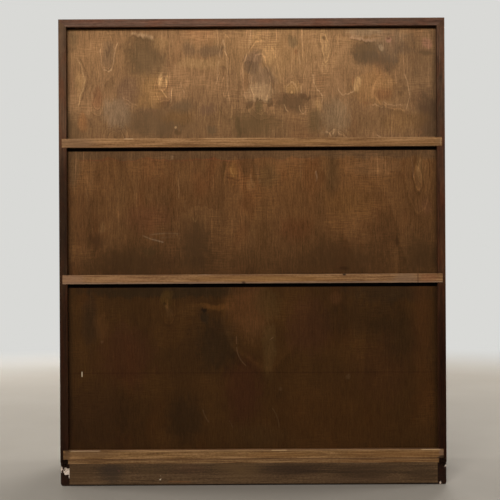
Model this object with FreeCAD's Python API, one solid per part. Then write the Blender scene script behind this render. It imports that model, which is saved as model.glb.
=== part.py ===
import FreeCAD, Part
import os
from math import sqrt

# A free-standing display cabinet of three tiers, each closed at the front by a pair of sliding glass doors.
# Millimetres. The origin is on the floor under the middle of the case, +Z is up and the doors face -Y.
# Left and right are as seen by someone who faces the doors, so the right side is at +X.

# Case
WIDTH = 890.0
HEIGHT = 1075.0
DEPTH = 300.0
BOARD = 18.0            # thickness of the sides and the top
SHELF = 21.0            # thickness of the shelves and the bottom board
PLINTH_HEIGHT = 50.0
SIDE_FOOT = 10.5        # how far the sides stand down past the bottom board
LOWER_CLEAR = 383.0     # clear height of the lower tier
MIDDLE_CLEAR = 293.5    # clear height of the middle tier, and the upper tier has what is left
HOUSING = 11.0          # depth of the housings in the sides
LIPPING = 8.0           # solid strips over the front edges of the boards
FRONT_ARRIS = 2.0       # radius on the lippings' front edges
BACK_ARRIS = 0.8        # radius on the back edges
LONG_EDGE = 100.0       # only edges longer than this are rounded
SAME_PLACE = 1e-6       # two places closer than this are one

# Loose tongues in the mitred top corners
TONGUE = 4.0
TONGUE_DEPTH = 6.0      # on each side of the joint
TONGUE_STOP = 24.0      # the tongues stop this far short of the back edge

# Plywood backs
PLY = 4.0
PLY_RECESS = 12.0       # from the back edges to the back face of the ply
PLY_GROOVE = 6.0
PLY_PLAY = 1.0          # room for movement at each side of a sheet and over its top edge

# Plinth and the fillets that carry the case on it
PLINTH_BOARD = 20.0
PLINTH_INSET = 1.0        # at each side
TOE_RECESS = 28.0       # at the front
PLINTH_TONGUE = 6.0     # length of the tongues on the plinth's rails
PLINTH_TONGUE_THICK = 8.0
REAR_FILLET = 50.0      # width from front to back
FRONT_FILLET = 70.0
BLOCK_LEG = 42.0        # corner block, measured along each rail
BLOCK_HEIGHT = 30.0
SCREW_INSET = 14.0      # from the plinth rails' inner faces
SCREW_LENGTH = 50.0
SCREW_SHANK = 4.2
SCREW_HEAD = 8.0
SCREW_SLOT = 1.1
SCREW_SLOT_DEPTH = 1.0

# Sliding doors and their tracks
GLASS = 5.0
CHANNEL = 6.0           # width of each of the two channels
TRACK_WALL = 2.0
TRACK_WEB = 1.5         # the floor of a bottom track and the roof of a top track
TRACK_LIP = 0.5         # radius on the lips of the channels
TRACK_SETBACK = 16.0    # from the front of the case to the track
BOTTOM_CHANNEL = 3.5    # depth of the bottom channels
TOP_CHANNEL = 8.5       # depth of the top channels
TOP_GRIP = 4.5          # how far a door reaches up into its top channel
DOOR_OVERLAP = 24.0     # of two closed doors at the middle
DOOR_END_GAP = 1.0      # between a closed door and the side
GLASS_ARRIS = 0.6       # ground edges
PULL_LENGTH = 40.0      # finger pull ground into the glass
PULL_WIDTH = 12.0
PULL_DEPTH = 2.0
PULL_INSET = 30.0       # from the door's outer edge to the middle of the pull
DOOR_CHANNEL = {"right": 0, "left": 1}      # 0 is the front channel and 1 is the rear one

# Worked out from the sizes above
side_in = WIDTH / 2 - BOARD
case_foot = PLINTH_HEIGHT
bottom_z = case_foot + SIDE_FOOT
lower_floor = bottom_z + SHELF
lower_shelf_z = lower_floor + LOWER_CLEAR
middle_floor = lower_shelf_z + SHELF
upper_shelf_z = middle_floor + MIDDLE_CLEAR
upper_floor = upper_shelf_z + SHELF
top_z = HEIGHT - BOARD
front = -DEPTH / 2
back = DEPTH / 2
board_front = front + LIPPING
ply_back = back - PLY_RECESS
ply_front = ply_back - PLY
track_width = 3 * TRACK_WALL + 2 * CHANNEL
track_front = front + TRACK_SETBACK
plinth_out = WIDTH / 2 - PLINTH_INSET
plinth_in = plinth_out - PLINTH_BOARD
toe = front + TOE_RECESS
block_low = PLINTH_HEIGHT - BLOCK_HEIGHT
door_outer = side_in - DOOR_END_GAP
door_width = door_outer + DOOR_OVERLAP / 2
door_travel = door_outer * 2 - door_width

# Floor and ceiling heights of each tier
TIERS = {
    "lower": (lower_floor, lower_shelf_z),
    "middle": (middle_floor, upper_shelf_z),
    "upper": (upper_floor, top_z),
}
SIDES = {"left": -1, "right": 1}


def box(x0, x1, y0, y1, z0, z1):
    """A box between two corners."""
    return Part.makeBox(x1 - x0, y1 - y0, z1 - z0, FreeCAD.Vector(x0, y0, z0))


def prism(points, travel):
    """A flat outline of corner points, carried along the vector travel."""
    wire = Part.makePolygon([FreeCAD.Vector(*p) for p in points + points[:1]])
    return Part.Face(wire).extrude(FreeCAD.Vector(*travel))


def long_edges(solid, axis, level):
    """The long edges that lie in the plane across an axis, "Y" or "Z", at a level."""
    return [
        e
        for e in solid.Edges
        if e.Length > LONG_EDGE and all(abs(getattr(v, axis) - level) < SAME_PLACE for v in e.Vertexes)
    ]


def eased(solid, y, radius):
    """Rounds the long edges that lie in the plane at y."""
    return solid.makeFillet(radius, long_edges(solid, "Y", y))


def ply_pocket(tier):
    """The groove that runs right round a tier for its sheet of ply."""
    floor, ceiling = TIERS[tier]
    reach = side_in + PLY_GROOVE
    return box(-reach, reach, ply_front, ply_back, floor - PLY_GROOVE, ceiling + PLY_GROOVE)


def back_panel(tier):
    """Ply that stands on the floor of its groove, with room to move at the sides and over the top."""
    floor, ceiling = TIERS[tier]
    reach = side_in + PLY_GROOVE - PLY_PLAY
    return box(-reach, reach, ply_front, ply_back, floor - PLY_GROOVE, ceiling + PLY_GROOVE - PLY_PLAY)


def track_seat(tier, place):
    """The groove for a track, let in flush with the floor or the ceiling of the tier."""
    floor, ceiling = TIERS[tier]
    if place == "bottom":
        low, high = floor - TRACK_WEB - BOTTOM_CHANNEL, floor
    else:
        low, high = ceiling, ceiling + TRACK_WEB + TOP_CHANNEL
    return box(-side_in, side_in, track_front, track_front + track_width, low, high)


def channel_hollow(tier, place, index):
    """The hollow of one channel of a track, counted from the front."""
    floor, ceiling = TIERS[tier]
    y = track_front + TRACK_WALL + index * (CHANNEL + TRACK_WALL)
    if place == "bottom":
        low, high = floor - BOTTOM_CHANNEL, floor
    else:
        low, high = ceiling, ceiling + TOP_CHANNEL
    return box(-side_in, side_in, y, y + CHANNEL, low, high)


def track(tier, place):
    """A double channel, open towards the doors, with rounded lips along both hollows."""
    hollows = [channel_hollow(tier, place, index) for index in DOOR_CHANNEL.values()]
    body = track_seat(tier, place).cut(hollows)
    floor, ceiling = TIERS[tier]
    mouth = floor if place == "bottom" else ceiling
    middle_y = track_front + track_width / 2
    reach = (track_width - TRACK_WALL) / 2
    lips = [e for e in long_edges(body, "Z", mouth) if abs(e.Vertexes[0].Y - middle_y) < reach]
    return body.makeFillet(TRACK_LIP, lips)


def mitre_tongue_seat(side):
    """The slot across a mitred corner, square to the mitre and half in each board."""
    s = SIDES[side]
    middle_x = side_in + BOARD / 2
    middle_z = top_z + BOARD / 2
    along = TONGUE / 2 / sqrt(2)
    across = TONGUE_DEPTH / sqrt(2)
    corners = [
        (middle_x - across - along, middle_z + across - along),
        (middle_x - across + along, middle_z + across + along),
        (middle_x + across + along, middle_z - across + along),
        (middle_x + across - along, middle_z - across - along),
    ]
    outline = [(s * x, board_front, z) for x, z in corners]
    return prism(outline, (0, back - TONGUE_STOP - board_front, 0))


def side_outline(side, y):
    """A side seen from the front: square at the foot and mitred at the top."""
    s = SIDES[side]
    return [
        (s * side_in, y, case_foot),
        (s * WIDTH / 2, y, case_foot),
        (s * WIDTH / 2, y, HEIGHT),
        (s * side_in, y, top_z),
    ]


def top_outline(y):
    """The top seen from the front, mitred at both ends."""
    return [
        (-side_in, y, top_z),
        (side_in, y, top_z),
        (WIDTH / 2, y, HEIGHT),
        (-WIDTH / 2, y, HEIGHT),
    ]


def board_room(z):
    """The room of a shelf, which runs through to the back and into the housings of both sides."""
    reach = side_in + HOUSING
    return box(-reach, reach, board_front, back, z, z + SHELF)


def housed_board(z):
    """The blank of a shelf or of the bottom board."""
    return eased(board_room(z), back, BACK_ARRIS)


def side_panel(side):
    """A side with its housings, the grooves for the ply and the slot for the mitre's tongue."""
    blank = prism(side_outline(side, board_front), (0, back - board_front, 0))
    housings = [board_room(z) for z in (bottom_z, lower_shelf_z, upper_shelf_z)]
    grooves = [ply_pocket(tier) for tier in TIERS]
    return eased(blank, back, BACK_ARRIS).cut(housings + grooves + [mitre_tongue_seat(side)])


def top_panel():
    blank = prism(top_outline(board_front), (0, back - board_front, 0))
    seats = [ply_pocket("upper"), track_seat("upper", "top")]
    seats += [mitre_tongue_seat(side) for side in SIDES]
    return eased(blank, back, BACK_ARRIS).cut(seats)


def shelf(z, tier_above, tier_below):
    """A shelf with the doors' tracks and the ply let into both of its faces."""
    seats = [
        ply_pocket(tier_above),
        ply_pocket(tier_below),
        track_seat(tier_above, "bottom"),
        track_seat(tier_below, "top"),
    ]
    return housed_board(z).cut(seats)


def bottom_board():
    seats = [ply_pocket("lower"), track_seat("lower", "bottom"), *screws()]
    return housed_board(bottom_z).cut(seats)


def side_lipping(side):
    return eased(prism(side_outline(side, front), (0, LIPPING, 0)), front, FRONT_ARRIS)


def top_lipping():
    return eased(prism(top_outline(front), (0, LIPPING, 0)), front, FRONT_ARRIS)


def shelf_lipping(low, high):
    """A strip between the two side lippings."""
    return eased(box(-side_in, side_in, front, board_front, low, high), front, FRONT_ARRIS)


def base_fillet(y0, y1):
    """A strip that fills the foot of the case, under the bottom board and between the sides."""
    return box(-side_in, side_in, y0, y1, case_foot, bottom_z)


def rear_fillet():
    """Its back face lies in the plane of the case's back edges."""
    return eased(base_fillet(back - REAR_FILLET, back), back, BACK_ARRIS).cut(screws())


def front_fillet():
    """Set against the back of the bottom lipping."""
    return base_fillet(board_front, board_front + FRONT_FILLET).cut(screws())


def rear_rail():
    """Fits between the plinth's side rails, with a bare-faced tongue at each end."""
    rail = box(-plinth_in, plinth_in, back - PLINTH_BOARD, back, 0, PLINTH_HEIGHT)
    reach = plinth_in + PLINTH_TONGUE
    tongue_back = back - PLINTH_BOARD + PLINTH_TONGUE_THICK
    tongues = box(-reach, reach, back - PLINTH_BOARD, tongue_back, 0, PLINTH_HEIGHT)
    return rail.fuse(tongues).removeSplitter()


def plinth_side(side):
    """Grooved for the rear rail's tongue, and tongued into the back of the front rail."""
    s = SIDES[side]
    x0, x1 = sorted((s * plinth_in, s * plinth_out))
    rail = box(x0, x1, toe + PLINTH_BOARD, back, 0, PLINTH_HEIGHT)
    t0, t1 = sorted((s * plinth_in, s * (plinth_in + PLINTH_TONGUE_THICK)))
    tongue_front = toe + PLINTH_BOARD - PLINTH_TONGUE
    tongue = box(t0, t1, tongue_front, toe + PLINTH_BOARD, 0, PLINTH_HEIGHT)
    return rail.fuse(tongue).removeSplitter().cut(rear_rail())


def front_rail():
    """The toe board covers the ends of the side rails."""
    rail = box(-plinth_out, plinth_out, toe, toe + PLINTH_BOARD, 0, PLINTH_HEIGHT)
    return rail.cut([plinth_side(side) for side in SIDES])


def block_corners():
    """The four inner corners of the plinth frame, each with the directions of its two rails."""
    for x in (-1, 1):
        yield x * plinth_in, -x, toe + PLINTH_BOARD, 1
        yield x * plinth_in, -x, back - PLINTH_BOARD, -1


def screws():
    """Countersunk shanks with pointed ends, driven up through the corner blocks."""
    head = (SCREW_HEAD - SCREW_SHANK) / 2
    tip = block_low + SCREW_LENGTH
    outline = [
        (0, 0, block_low),
        (SCREW_HEAD / 2, 0, block_low),
        (SCREW_SHANK / 2, 0, block_low + head),
        (SCREW_SHANK / 2, 0, tip - SCREW_SHANK),
        (0, 0, tip),
    ]
    wire = Part.makePolygon([FreeCAD.Vector(*p) for p in outline + outline[:1]])
    screw = Part.Face(wire).revolve(FreeCAD.Vector(0, 0, 0), FreeCAD.Vector(0, 0, 1), 360)
    return [
        screw.translated(FreeCAD.Vector(x + dx * SCREW_INSET, y + dy * SCREW_INSET, 0))
        for x, dx, y, dy in block_corners()
    ]


def slotted_screws():
    """The same screws with a driver slot across each head."""
    made = []
    for screw in screws():
        x, y = screw.CenterOfMass.x, screw.CenterOfMass.y
        half = SCREW_SLOT / 2
        slot_top = block_low + SCREW_SLOT_DEPTH
        slot = box(x - half, x + half, y - SCREW_HEAD, y + SCREW_HEAD, block_low, slot_top)
        made.append(screw.cut(slot))
    return Part.makeCompound(made)


def corner_blocks():
    """Three-cornered blocks glued into the plinth frame, their tops under the fillets."""
    made = []
    for (x, dx, y, dy), screw in zip(block_corners(), screws()):
        outline = [
            (x, y, block_low),
            (x + dx * BLOCK_LEG, y, block_low),
            (x, y + dy * BLOCK_LEG, block_low),
        ]
        made.append(prism(outline, (0, 0, BLOCK_HEIGHT)).cut(screw))
    return Part.makeCompound(made)


def glass_door(tier, side):
    """Plate glass that stands on the floor of its channel."""
    s = SIDES[side]
    floor, ceiling = TIERS[tier]
    channel = DOOR_CHANNEL[side]
    middle_y = track_front + TRACK_WALL + channel * (CHANNEL + TRACK_WALL) + CHANNEL / 2
    face = middle_y - GLASS / 2
    x0, x1 = sorted((s * door_outer, s * (door_outer - door_width)))
    low = floor - BOTTOM_CHANNEL
    high = ceiling + TOP_GRIP
    pane = box(x0, x1, face, face + GLASS, low, high)
    pane = pane.makeChamfer(GLASS_ARRIS, pane.Edges)
    return pane.cut(finger_pull(s * (door_outer - PULL_INSET), face, (floor + ceiling) / 2))


def finger_pull(x, face, z):
    """The hollow that the rounded rim of a grinding wheel leaves in the front face of a pane."""
    wheel = (PULL_LENGTH ** 2 / 4 + PULL_DEPTH ** 2) / (2 * PULL_DEPTH)
    rim = (PULL_WIDTH ** 2 / 4 + PULL_DEPTH ** 2) / (2 * PULL_DEPTH)
    centre = FreeCAD.Vector(x, face + PULL_DEPTH - wheel, z)
    return Part.makeTorus(wheel - rim, rim, centre, FreeCAD.Vector(1, 0, 0))


def pieces():
    """Every node's name with its solid."""
    yield "top_panel", top_panel()
    yield "upper_shelf", shelf(upper_shelf_z, "upper", "middle")
    yield "lower_shelf", shelf(lower_shelf_z, "middle", "lower")
    yield "bottom_board", bottom_board()
    yield "lipping_top", top_lipping()
    yield "lipping_upper_shelf", shelf_lipping(upper_shelf_z, upper_floor)
    yield "lipping_lower_shelf", shelf_lipping(lower_shelf_z, middle_floor)
    yield "lipping_bottom", shelf_lipping(case_foot, lower_floor)
    yield "base_fillet_rear", rear_fillet()
    yield "base_fillet_front", front_fillet()
    yield "plinth_rear_rail", rear_rail()
    yield "plinth_front_rail", front_rail()
    yield "plinth_corner_blocks", corner_blocks()
    yield "plinth_screws", slotted_screws()
    for side in SIDES:
        yield f"side_panel_{side}", side_panel(side)
        yield f"mitre_tongue_{side}", mitre_tongue_seat(side)
        yield f"lipping_side_{side}", side_lipping(side)
        yield f"plinth_side_{side}", plinth_side(side)
    for tier in TIERS:
        yield f"back_panel_{tier}", back_panel(tier)
        for place in ("top", "bottom"):
            yield f"track_{place}_{tier}", track(tier, place)
        for side in SIDES:
            yield f"glass_door_{tier}_{side}", glass_door(tier, side)


os.makedirs("parts", exist_ok=True)
for name, shape in pieces():
    shape.exportStep(f"parts/{name}.step")
print(f"each door slides {door_travel:.1f} mm")
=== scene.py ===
import math

import bmesh
import bpy
from mathutils import Euler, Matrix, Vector, noise


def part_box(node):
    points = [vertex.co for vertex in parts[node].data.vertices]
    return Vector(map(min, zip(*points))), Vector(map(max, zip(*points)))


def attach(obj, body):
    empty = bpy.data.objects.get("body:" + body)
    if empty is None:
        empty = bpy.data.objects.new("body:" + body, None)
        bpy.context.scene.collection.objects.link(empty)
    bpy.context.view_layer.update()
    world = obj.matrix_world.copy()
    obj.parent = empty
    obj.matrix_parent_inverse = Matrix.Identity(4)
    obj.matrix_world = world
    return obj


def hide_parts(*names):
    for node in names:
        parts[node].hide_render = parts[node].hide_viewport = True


# The dressed display cabinet, in metres. Its plywood back faces +Y and its glass doors face -Y.
# Left and right are as seen from the doors, so the right side is at +X.

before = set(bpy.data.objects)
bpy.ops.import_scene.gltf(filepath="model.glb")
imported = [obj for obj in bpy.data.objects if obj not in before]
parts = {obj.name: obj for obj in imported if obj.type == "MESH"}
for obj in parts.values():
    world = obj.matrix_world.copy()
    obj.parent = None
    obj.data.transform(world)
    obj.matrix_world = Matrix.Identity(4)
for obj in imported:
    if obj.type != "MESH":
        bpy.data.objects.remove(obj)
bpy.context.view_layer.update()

TIERS = ("lower", "middle", "upper")
SIDES = ("left", "right")
BACK = (0, 1, 0)
UP = (0, 0, 1)
MM = 0.001

# Places that the finishes need, read from the frame
case_low, case_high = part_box("side_panel_right")
inner_x = case_low.x
back_y = case_high.y
top_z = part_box("top_panel")[1].z
tier_floor = {
    "lower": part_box("bottom_board")[1].z,
    "middle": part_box("lower_shelf")[1].z,
    "upper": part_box("upper_shelf")[1].z,
}
tier_ceiling = {
    "lower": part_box("lower_shelf")[0].z,
    "middle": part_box("upper_shelf")[0].z,
    "upper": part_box("top_panel")[0].z,
}


def tone(red, green, blue):
    """A colour as it is seen on a screen, 0 to 255, turned into light for a shader."""
    def light(value):
        share = value / 255
        return share / 12.92 if share <= 0.04045 else ((share + 0.055) / 1.055) ** 2.4

    return (light(red), light(green), light(blue), 1.0)


class Wiring:
    """Short calls that add shader nodes to one node tree."""

    def __init__(self, tree):
        self.tree = tree

    def node(self, kind, **settings):
        made = self.tree.nodes.new("ShaderNode" + kind)
        for name, value in settings.items():
            setattr(made, name, value)
        return made

    def put(self, socket, value):
        if isinstance(value, bpy.types.NodeSocket):
            self.tree.links.new(value, socket)
        else:
            socket.default_value = value

    def maths(self, operation, *values):
        made = self.node("Math", operation=operation)
        for socket, value in zip(made.inputs, values):
            self.put(socket, value)
        return made.outputs[0]

    def minus(self, value, other):
        return self.maths("SUBTRACT", value, other)

    def times(self, first, *others):
        for value in others:
            first = self.maths("MULTIPLY", first, value)
        return first

    def fit(self, value, factor, base):
        """A value times a factor, added to a base."""
        return self.maths("MULTIPLY_ADD", value, factor, base)

    def swing(self, value, factor, base):
        """How far a value is from a half, times a factor, added to a base."""
        return self.fit(self.minus(value, 0.5), factor, base)

    def vectors(self, operation, *values):
        made = self.node("VectorMath", operation=operation)
        for socket, value in zip(made.inputs, values):
            self.put(socket, value)
        return made.outputs["Value" if operation in ("DOT_PRODUCT", "LENGTH") else "Vector"]

    def dot(self, vector, direction):
        return self.vectors("DOT_PRODUCT", vector, direction)

    def stretch(self, place, factors):
        return self.vectors("MULTIPLY", place, factors)

    def offset(self, place, centre, size):
        """Where a place is in an oval, whose rim is at 1 on every side."""
        return self.vectors("DIVIDE", self.vectors("SUBTRACT", place, centre), size)

    def noises(self, where, scale, detail=2.0, rough=0.5, warp=0.0):
        """Noise as a value and as a colour. scale is one number, or one for each axis."""
        if isinstance(scale, tuple):
            where = self.stretch(where, scale)
            scale = 1.0
        made = self.node("TexNoise")
        self.put(made.inputs["Vector"], where)
        settings = {"Scale": scale, "Detail": detail, "Roughness": rough, "Distortion": warp}
        for name, value in settings.items():
            made.inputs[name].default_value = value
        return made.outputs

    def noise(self, *settings):
        return self.noises(*settings)[0]

    def span(self, value, low, high, to_low=0.0, to_high=1.0):
        """Maps low..high smoothly to to_low..to_high, held at both ends."""
        made = self.node("MapRange", interpolation_type="SMOOTHSTEP")
        for socket, number in zip(made.inputs, (value, low, high, to_low, to_high)):
            self.put(socket, number)
        return made.outputs[0]

    def bell(self, value, half, power=2.0):
        """1 at 0, a half at half and then down to 0, more steeply with a larger power."""
        share = self.maths("MAXIMUM", self.maths("DIVIDE", value, half), 0.0)
        return self.maths("POWER", 0.5, self.maths("POWER", share, power))

    def rim(self, distance, width):
        """1 where a distance is 0, a half at half the width on either side."""
        away = self.maths("ABSOLUTE", distance)
        return self.bell(self.times(away, 2.0), width)

    def held(self, value):
        """Keeps a value between 0 and 1."""
        return self.maths("MINIMUM", self.maths("MAXIMUM", value, 0.0), 1.0)

    def ramp(self, value, *stops):
        """A colour ramp of (place, colour) stops. Colours with alpha are light already."""
        made = self.node("ValToRGB")
        colours = made.color_ramp.elements
        while len(colours) < len(stops):
            colours.new(0.5)
        for element, (place, colour) in zip(colours, stops):
            element.position = place
            element.color = tone(*colour) if len(colour) == 3 else colour
        self.put(made.inputs[0], value)
        return made.outputs[0]

    def blend(self, share, first, second):
        made = self.node("Mix", data_type="RGBA", blend_type="MIX")
        self.put(made.inputs["Factor"], share)
        self.put(made.inputs[6], first)
        self.put(made.inputs[7], second)
        return made.outputs[2]

    def scaled(self, colour, factor):
        """A colour or vector times a factor."""
        made = self.node("VectorMath", operation="SCALE")
        self.put(made.inputs[0], colour)
        self.put(made.inputs["Scale"], factor)
        return made.outputs[0]

    def use(self, group, **values):
        made = self.tree.nodes.new("ShaderNodeGroup")
        made.node_tree = group
        for name, value in values.items():
            self.put(made.inputs[name], value)
        return made.outputs


def effect(name, wire, vectors=(), **numbers):
    """A node group. wire is given Vector, more vectors and numbers, and says what comes out."""
    tree = bpy.data.node_groups.new(name, "ShaderNodeTree")
    for label in ("Vector", *vectors):
        tree.interface.new_socket(label, in_out="INPUT", socket_type="NodeSocketVector")
    for label, value in numbers.items():
        socket = tree.interface.new_socket(label, in_out="INPUT", socket_type="NodeSocketFloat")
        socket.default_value = value
    source = tree.nodes.new("NodeGroupInput")
    sink = tree.nodes.new("NodeGroupOutput")
    given = [source.outputs[label] for label in ("Vector", *vectors, *numbers)]
    for label, result in wire(Wiring(tree), *given).items():
        tree.interface.new_socket(label, in_out="OUTPUT", socket_type="NodeSocketFloat")
        tree.links.new(result, sink.inputs[label])
    return tree


def wire_grain(w, place, length):
    """Streaks, short flecks, pores and soft bands of wood that grows along Z."""
    long_place = w.stretch(place, w.stretch(length, UP))
    stretched = w.vectors("ADD", long_place, w.stretch(place, (1, 1, 0)))
    return {
        "Bands": w.noise(stretched, (42, 42, 2.6), 3.0, 0.55, 0.4),
        "Streaks": w.noise(stretched, (340, 340, 34), 3.0, 0.65),
        "Flecks": w.noise(stretched, (420, 420, 190), 2.0, 0.6),
        "Pores": w.span(w.noise(stretched, (1100, 1100, 70), 2.0, 0.6), 0.58, 0.72),
        "Threads": w.span(w.noise(stretched, (240, 240, 8), 2.0, 0.5), 0.59, 0.74),
    }


def wire_hill(w, place, centre, size, rise, opening, height, near):
    """Adds one hill to the field whose contours a peeled veneer shows, and says where it stands.

    The opening is 1 where the lines fade towards the top, as in a U, and -1 where they fade below."""
    offset = w.offset(place, centre, size)
    reach = w.vectors("LENGTH", offset)
    fade = w.held(w.fit(w.times(w.dot(offset, UP), opening), -1.0, 1.1))
    here = w.times(w.bell(reach, 1.35, 4.0), fade)
    return {"Height": w.fit(w.bell(reach, 1.1), rise, height), "Near": w.maths("MAXIMUM", here, near)}


def wire_rotary(w, place, hills, rings, ripple):
    """The wide figure of a veneer peeled round the log: contours of a slow field and its hills."""
    field = w.maths("ADD", w.noise(place, (2.6, 2.6, 1.15), 2.5, 0.42, 0.35), hills)
    height = w.fit(w.noise(place, (40, 40, 14), 3.0, 0.55), ripple, field)
    ring = w.maths("FRACT", w.times(height, rings))
    light = w.maths("ADD", w.span(ring, 0.0, 0.13, 1.0, 0.0), w.span(ring, 0.95, 1.0))
    dark = w.times(w.span(ring, 0.70, 0.85), w.span(ring, 0.85, 0.95, 1.0, 0.0))
    return {"Figure": w.span(ring, 0.25, 0.95), "Light": light, "Dark": dark}


def wire_cross_scratches(w, place):
    """Fine sanding marks that run across the grain, in patches."""
    lines = w.noise(place, (30, 30, 440), 2.0, 0.65)
    patches = w.noise(place, (9, 9, 11), 2.0, 0.5)
    return {"Mask": w.times(w.span(lines, 0.36, 0.66), w.span(patches, 0.44, 0.66))}


def wire_cut(w, place, mask, low, high):
    """Keeps a mark between two heights, with a short soft edge."""
    steepness = 300.0
    up = w.dot(place, UP)
    above = w.held(w.fit(w.minus(up, low), steepness, 0.5))
    below = w.held(w.fit(w.minus(high, up), steepness, 0.5))
    return {"Mask": w.times(mask, above, below)}


def wire_mark(w, place, centre, size, strength, softness, fray):
    """A round or oval patch on the XZ plane."""
    reach = w.vectors("LENGTH", w.offset(place, centre, size))
    shape = w.bell(w.maths("ADD", reach, fray), 1.0, w.maths("DIVIDE", 2.2, softness))
    return {"Mask": w.times(shape, strength)}


def wire_ring(w, place, centre, size, strength, width):
    """The rim alone of an oval on the XZ plane, as a light line of figure has."""
    reach = w.vectors("LENGTH", w.offset(place, centre, size))
    return {"Mask": w.times(w.rim(w.minus(reach, 1.0), width), strength)}


def wire_scratch(w, place, start, end, bow, width, strength):
    """A thin bowed line on the XZ plane from start to end."""
    run = w.vectors("SUBTRACT", end, start)
    offset = w.vectors("SUBTRACT", place, start)
    length = w.vectors("LENGTH", run)
    along = w.maths("DIVIDE", w.dot(offset, run), w.times(length, length))
    aside = w.maths("DIVIDE", w.dot(offset, w.vectors("CROSS_PRODUCT", run, BACK)), length)
    arch = w.times(along, w.minus(1.0, along), 4.0)
    shape = w.rim(w.minus(aside, w.times(arch, bow)), width)
    return {"Mask": w.times(shape, w.held(w.times(arch, 3.0)), strength)}


def wire_wear(w, place, radius):
    """Rubbed edges: where the surface turns within a radius, broken up by noise."""
    soft = w.node("Bevel", samples=4)
    w.put(soft.inputs["Radius"], radius)
    turn = w.minus(1.0, w.dot(soft.outputs[0], w.node("NewGeometry").outputs["Normal"]))
    rubs = w.noise(place, 55.0, 3.0, 0.65)
    return {"Mask": w.times(w.span(turn, 0.015, 0.16), w.span(rubs, 0.36, 0.66))}


OVAL = ("Centre", "Size")
grain = effect("wood_grain", wire_grain, Stretch=1.0)
hill = effect("figure_hill", wire_hill, OVAL, Rise=0.3, Open=0.0, Height=0.0, Near=0.0)
rotary = effect("rotary_figure", wire_rotary, Hills=0.0, Rings=9.0, Ripple=0.03)
cross_scratches = effect("cross_scratches", wire_cross_scratches)
mark = effect("oval_mark", wire_mark, OVAL, Strength=0.5, Softness=0.4, Fray=0.0)
ring_mark = effect("ring_mark", wire_ring, OVAL, Strength=0.5, Width=0.2)
cut = effect("cut_at_heights", wire_cut, Mask=0.0, Low=0.0, High=1.0)
scratch = effect("thin_scratch", wire_scratch, ("Start", "End"), Bow=0.0, Width=0.001, Strength=0.5)
edge_wear = effect("edge_wear", wire_wear, Radius=0.002)


class Finish(Wiring):
    """A material with its Principled shader, and the object's own place in metres."""

    def __init__(self, name, rough=0.5, shine=0.5):
        self.material = bpy.data.materials.new(name)
        self.material.use_nodes = True
        super().__init__(self.material.node_tree)
        self.shader = self.tree.nodes["Principled BSDF"]
        self.shader.inputs["Roughness"].default_value = rough
        self.shader.inputs["Specular IOR Level"].default_value = shine
        self.place = self.node("TexCoord").outputs["Object"]
        self.normal = self.node("NewGeometry").outputs["Normal"]

    def backs(self):
        """1 on the faces that look to the back."""
        return self.span(self.dot(self.normal, BACK), 0.45, 0.75)

    def brightness(self, colour):
        """How light a colour is to the eye."""
        return self.dot(colour, (0.25, 0.65, 0.1))

    def axes(self):
        """The place as X, Y and Z apart."""
        apart = self.node("SeparateXYZ")
        self.put(apart.inputs[0], self.place)
        return apart.outputs

    def turned(self, order):
        """The place with its axes swapped, so that the grain's own axis comes last."""
        apart = self.axes()
        joined = self.node("CombineXYZ")
        for socket, axis in zip(joined.inputs, order):
            self.put(socket, apart["XYZ".index(axis)])
        return joined.outputs[0]

    def wander(self, noises):
        """A push to all sides, from the colour of a noise."""
        return self.vectors("SUBTRACT", noises["Color"], (0.5, 0.5, 0.5))

    def mixed(self, share, other):
        """Puts a second shader in place of the main one, by a share."""
        mix = self.node("MixShader")
        for socket, value in zip(mix.inputs, (share, self.shader.outputs[0], other.outputs[0])):
            self.put(socket, value)
        self.put(self.tree.nodes["Material Output"].inputs[0], mix.outputs[0])
        return self.material

    def done(self, colour, rough=None, height=None, depth=0.0004):
        """Joins up the shader, with bumps of a depth in metres."""
        self.put(self.shader.inputs["Base Color"], colour)
        if rough is not None:
            self.put(self.shader.inputs["Roughness"], rough)
        if height is not None:
            bump = self.node("Bump")
            bump.inputs["Distance"].default_value = depth
            self.put(bump.inputs["Height"], height)
            self.put(self.shader.inputs["Normal"], bump.outputs[0])
        return self.material


# The plywood backs, peeled veneer under a worn brown stain. Places are in millimetres from the
# middle of the case and from the floor, as seen from behind. Colours are as seen, 0 to 255.

LIGHT_LINE = (212, 168, 122)
PALE_GOLD = (180, 137, 90)
BRIGHT_GOLD = (200, 155, 104)
DARK_OLIVE = (107, 82, 54)
OLIVE = (118, 92, 62)
GREY_BROWN = (136, 106, 78)
DARK_GREY = (114, 90, 66)
DARK_LINE = (96, 70, 46)
RED_BROWN = (140, 94, 62)

# A patch softer than this has a smooth edge and else a jagged one
SMOOTH_FROM = 0.42
# Heights below and above everything, where a mark isn't cut
LOWEST, HIGHEST = -1000, 2000


def oval(x, z, half_x, half_z, **more):
    """The values of an oval that runs right through the board."""
    through = 100.0
    return {"Centre": (x * MM, 0, z * MM), "Size": (half_x * MM, through, half_z * MM), **more}


def patch(x, z, half_x, half_z, paint, strength=0.5, soft=0.5, low=LOWEST, high=HIGHEST):
    """A soft oval patch of colour, whole or cut at a height."""
    values = oval(x, z, half_x, half_z, Softness=soft, Strength=strength)
    return mark, values, paint, "smooth" if soft >= SMOOTH_FROM else "jagged", (low, high)


def arc(x, z, half_x, half_z, paint=LIGHT_LINE, strength=0.5, width=0.14, low=LOWEST, high=HIGHEST):
    """The rim of an oval, whole or cut at a height, for U shapes and arches of the figure."""
    thin, faint = 0.75, 0.8
    values = oval(x, z, half_x, half_z, Width=thin * width, Strength=faint * strength)
    return ring_mark, values, paint, "jagged", (low, high)


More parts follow.
